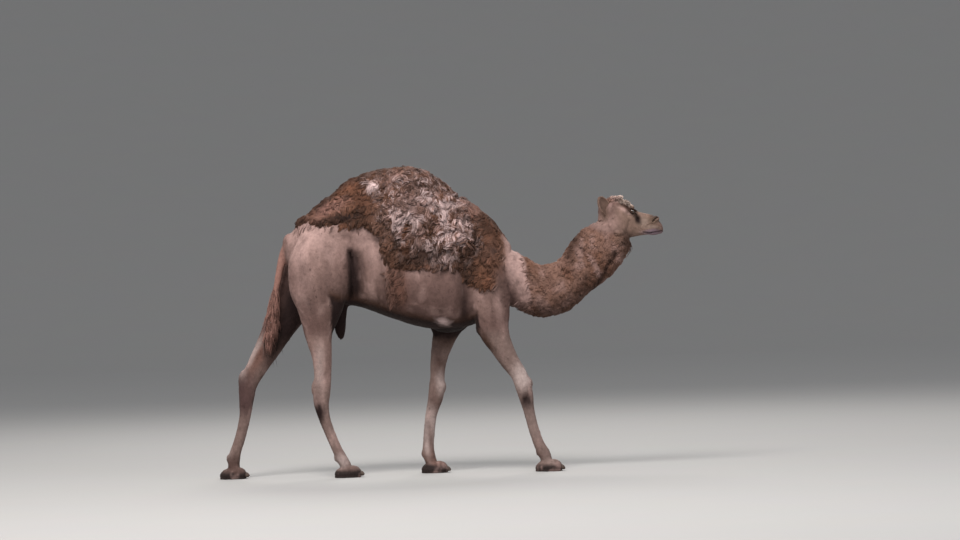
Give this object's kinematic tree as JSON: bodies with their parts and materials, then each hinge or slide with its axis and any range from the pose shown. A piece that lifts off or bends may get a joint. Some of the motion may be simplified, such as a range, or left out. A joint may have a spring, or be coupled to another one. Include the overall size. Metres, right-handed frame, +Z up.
{
  "type": "dromedary camel model",
  "caption": "Life-size still model of a one-humped camel walking, moulting its winter wool: a shaggy brown cape over the hump and ribs, pale bare haunches and legs.",
  "frame": {"origin": "on the ground, under the middle of the model's box", "axes": "+X forward, the way the animal faces and the longest extent; +Y to its left; +Z up"},
  "size_m": [3.0822, 0.6508, 2.1072],
  "materials": {
    "short_coat": "short pale summer coat",
    "winter_wool": "matted brown winter wool",
    "pad_skin": "bare dark skin",
    "eye": "wet dark eye",
    "nail": "dark horn"
  },
  "bodies": {
    "root": {"barrel": "winter_wool", "chest_pad": "pad_skin", "ear_left": "short_coat", "ear_right": "short_coat", "eye_left": "eye", "eye_right": "eye", "fore_cannon_left": "short_coat", "fore_cannon_right": "short_coat", "fore_foot_left": "short_coat", "fore_foot_right": "short_coat", "fore_nail_left_inner": "nail", "fore_nail_left_outer": "nail", "fore_nail_right_inner": "nail", "fore_nail_right_outer": "nail", "forearm_left": "short_coat", "forearm_right": "short_coat", "forequarters": "short_coat", "gaskin_left": "short_coat", "gaskin_right": "short_coat", "head": "short_coat", "hind_cannon_left": "short_coat", "hind_cannon_right": "short_coat", "hind_foot_left": "short_coat", "hind_foot_right": "short_coat", "hind_nail_left_inner": "nail", "hind_nail_left_outer": "nail", "hind_nail_right_inner": "nail", "hind_nail_right_outer": "nail", "hindquarters": "short_coat", "hump": "winter_wool", "neck_lower": "winter_wool", "neck_upper": "winter_wool", "sheath": "pad_skin", "shoulder_left": "short_coat", "shoulder_right": "short_coat", "tail": "short_coat", "tail_brush": "winter_wool", "thigh_left": "short_coat", "thigh_right": "short_coat"}
  },
  "joints": []
}
